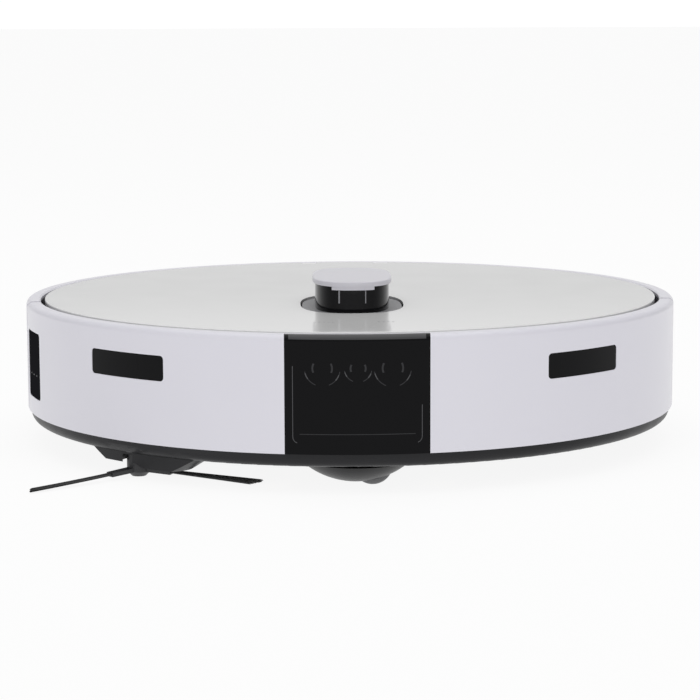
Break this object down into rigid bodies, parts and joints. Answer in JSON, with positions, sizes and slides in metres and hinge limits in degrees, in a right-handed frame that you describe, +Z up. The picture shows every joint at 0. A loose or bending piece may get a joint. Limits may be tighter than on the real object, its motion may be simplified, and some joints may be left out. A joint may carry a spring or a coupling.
{
  "type": "robot vacuum",
  "caption": "Low round robot vacuum with sprung bumper, raised sensor turret, hinged lid, lift-out dustbin, drive wheels, caster, roller brush and three-armed side brush.",
  "frame": {"origin": "on the floor, under the centre of the round body", "axes": "+Z up, the front of the machine (bumper, window and caster) faces -Y, +X is to the right seen from the front"},
  "size_m": [0.353, 0.353, 0.0936],
  "materials": {
    "shell_white": "satin white moulded plastic",
    "lid_white": "semi-gloss white",
    "cap_grey": "satin light grey",
    "deck_grey": "fine-textured light grey",
    "chassis_black": "satin black",
    "frame_black": "matt black",
    "smoked_gloss": "gloss smoked black",
    "trim_grey": "satin dark grey",
    "lens_glass": "coated lens",
    "steel": "bright steel",
    "contact_metal": "plated",
    "bronze_bush": "sintered bronze",
    "motor_steel": "plated motor can",
    "mech_grey": "satin grey",
    "tyre_rubber": "matt rubber",
    "belt_rubber": "rubber",
    "caster_black": "satin black",
    "caster_wheel": "firm rubber",
    "brush_rubber": "soft rubber",
    "side_hub_black": "matt black",
    "bristle_black": "nylon bristle",
    "bin_smoke": "smoked",
    "bin_lid": "satin dark grey",
    "filter_frame": "matt light grey",
    "filter_paper": "pleated paper",
    "battery_wrap": "shrink wrap",
    "board_green": "solder mask",
    "button_white": "satin white",
    "switch_black": "black"
  },
  "bodies": {
    "root": {"base_screws": "steel", "battery_cover": "chassis_black", "battery_pack": "battery_wrap", "brush_end_bush": "bronze_bush", "brush_housing": "frame_black", "bumper_springs": "steel", "bumper_switches": "switch_black", "camera_bracket": "frame_black", "camera_lenses": "lens_glass", "charging_contacts": "contact_metal", "chassis_base": "chassis_black", "cliff_windows": "smoked_gloss", "dustbin": "bin_smoke", "dustbin_lid": "bin_lid", "fan_housing": "mech_grey", "fan_motor": "motor_steel", "filter_frame": "filter_frame", "filter_pleats": "filter_paper", "inner_frame": "frame_black", "lid_hinge_pins": "steel", "lidar_belt": "belt_rubber", "lidar_motor": "motor_steel", "light_emitter": "lens_glass", "main_board": "board_green", "main_brush_guard": "chassis_black", "main_brush_motor": "motor_steel", "rear_shell": "shell_white", "side_brush_motor": "motor_steel", "suspension_spring_left": "steel", "suspension_spring_right": "steel", "turret_cap": "cap_grey", "turret_deck": "deck_grey", "turret_neck": "smoked_gloss", "wheel_well_left": "frame_black", "wheel_well_right": "frame_black"},
    "bumper": {"front_bumper": "shell_white", "bumper_window": "smoked_gloss", "window_trim": "trim_grey", "ir_windows": "smoked_gloss", "side_sensor_window": "smoked_gloss", "bumper_guides": "steel"},
    "lid": {"top_lid": "lid_white"},
    "lidar_rotor": {"lidar_rotor": "mech_grey"},
    "lidar_motor_pulley": {"lidar_motor_pulley": "mech_grey"},
    "suspension_left": {"suspension_arm_left": "mech_grey", "drive_motor_left": "motor_steel"},
    "suspension_right": {"suspension_arm_right": "mech_grey", "drive_motor_right": "motor_steel"},
    "wheel_left": {"wheel_hub_left": "mech_grey", "tyre_left": "tyre_rubber"},
    "wheel_right": {"wheel_hub_right": "mech_grey", "tyre_right": "tyre_rubber"},
    "caster_swivel": {"caster_swivel": "caster_black", "caster_axle": "steel"},
    "caster_wheel": {"caster_wheel": "caster_wheel"},
    "main_brush": {"main_brush": "brush_rubber"},
    "side_brush": {"side_brush_hub": "side_hub_black", "side_brush_bristles": "bristle_black"},
    "fan_impeller": {"fan_impeller": "mech_grey"},
    "power_button": {"power_button": "button_white"}
  },
  "joints": [
    {"name": "bumper_slide", "type": "slide", "parent": "root", "child": "bumper", "axis": [0, 1, 0], "range_m": [0, 0.002], "stiffness_N_per_m": 700, "springref_m": -0.004, "deforming": ["bumper_springs"]},
    {"name": "lid_hinge", "type": "hinge", "parent": "root", "child": "lid", "pos_m": [0, 0.16, 0.0765], "axis": [-1, 0, 0], "range_deg": [0, 75]},
    {"name": "lidar_spin", "type": "hinge", "parent": "root", "child": "lidar_rotor", "pos_m": [0, -0.064, 0.08], "axis": [0, 0, 1], "continuous": true},
    {"name": "lidar_motor_spin", "type": "hinge", "parent": "root", "child": "lidar_motor_pulley", "pos_m": [0, -0.034, 0.072], "axis": [0, 0, 1], "continuous": true},
    {"name": "suspension_left", "type": "hinge", "parent": "root", "child": "suspension_left", "pos_m": [-0.1, -0.032, 0.044], "axis": [-1, 0, 0], "range_deg": [0, 22], "stiffness_Nm_per_rad": 0.25, "springref_deg": 37.24, "deforming": ["suspension_spring_left"]},
    {"name": "suspension_right", "type": "hinge", "parent": "root", "child": "suspension_right", "pos_m": [0.1, -0.032, 0.044], "axis": [-1, 0, 0], "range_deg": [0, 22], "stiffness_Nm_per_rad": 0.25, "springref_deg": 37.24, "deforming": ["suspension_spring_right"]},
    {"name": "wheel_left_spin", "type": "hinge", "parent": "suspension_left", "child": "wheel_left", "pos_m": [-0.118, 0, 0.031], "axis": [1, 0, 0], "continuous": true},
    {"name": "wheel_right_spin", "type": "hinge", "parent": "suspension_right", "child": "wheel_right", "pos_m": [0.118, 0, 0.031], "axis": [1, 0, 0], "continuous": true},
    {"name": "caster_turn", "type": "hinge", "parent": "root", "child": "caster_swivel", "pos_m": [0, -0.142, 0.02], "axis": [0, 0, 1], "continuous": true},
    {"name": "caster_roll", "type": "hinge", "parent": "caster_swivel", "child": "caster_wheel", "pos_m": [0.008, -0.142, 0.01], "axis": [0, 1, 0], "continuous": true},
    {"name": "main_brush_spin", "type": "hinge", "parent": "root", "child": "main_brush", "pos_m": [0, 0.03, 0.0204], "axis": [1, 0, 0], "continuous": true},
    {"name": "side_brush_spin", "type": "hinge", "parent": "root", "child": "side_brush", "pos_m": [-0.10879, -0.12211, 0.006], "axis": [0, 0, 1], "continuous": true},
    {"name": "fan_spin", "type": "hinge", "parent": "root", "child": "fan_impeller", "pos_m": [-0.09, 0.084, 0.042], "axis": [1, 0, 0], "continuous": true},
    {"name": "button_press", "type": "slide", "parent": "root", "child": "power_button", "axis": [0, 0, -1], "range_m": [0, 0.001], "stiffness_N_per_m": 400, "springref_m": -0.001}
  ],
  "couplings": [
    {"joint": "lidar_motor_spin", "follows": "lidar_spin", "ratio": 2.75}
  ]
}
